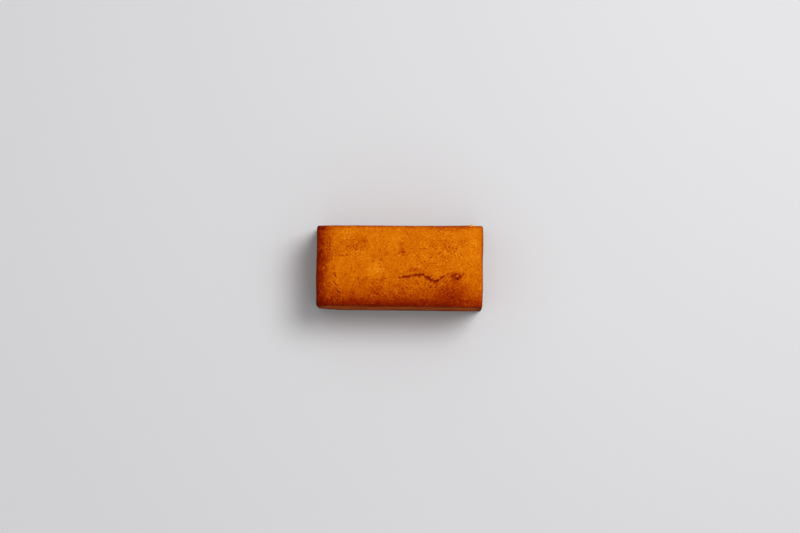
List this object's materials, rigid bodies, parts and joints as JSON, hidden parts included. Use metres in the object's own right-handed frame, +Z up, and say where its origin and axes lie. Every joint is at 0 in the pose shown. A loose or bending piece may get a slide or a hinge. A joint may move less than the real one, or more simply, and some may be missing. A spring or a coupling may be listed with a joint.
{
  "type": "pound cake loaf",
  "caption": "Small whole pound cake loaf with near-upright tin-baked walls, a nearly flat golden-brown top crust and a ragged split along it.",
  "frame": {"origin": "middle of the flat base the loaf stands on", "axes": "+X along the loaf, +Y across it towards the back, +Z up through the top crust"},
  "size_m": [0.1374, 0.07, 0.0564],
  "materials": {
    "crust": "baked butter-cake crust, golden orange-brown with fine pores, darker mahogany at the left and front edges, faint buttery sheen"
  },
  "bodies": {
    "root": {"loaf": "crust"}
  },
  "joints": []
}
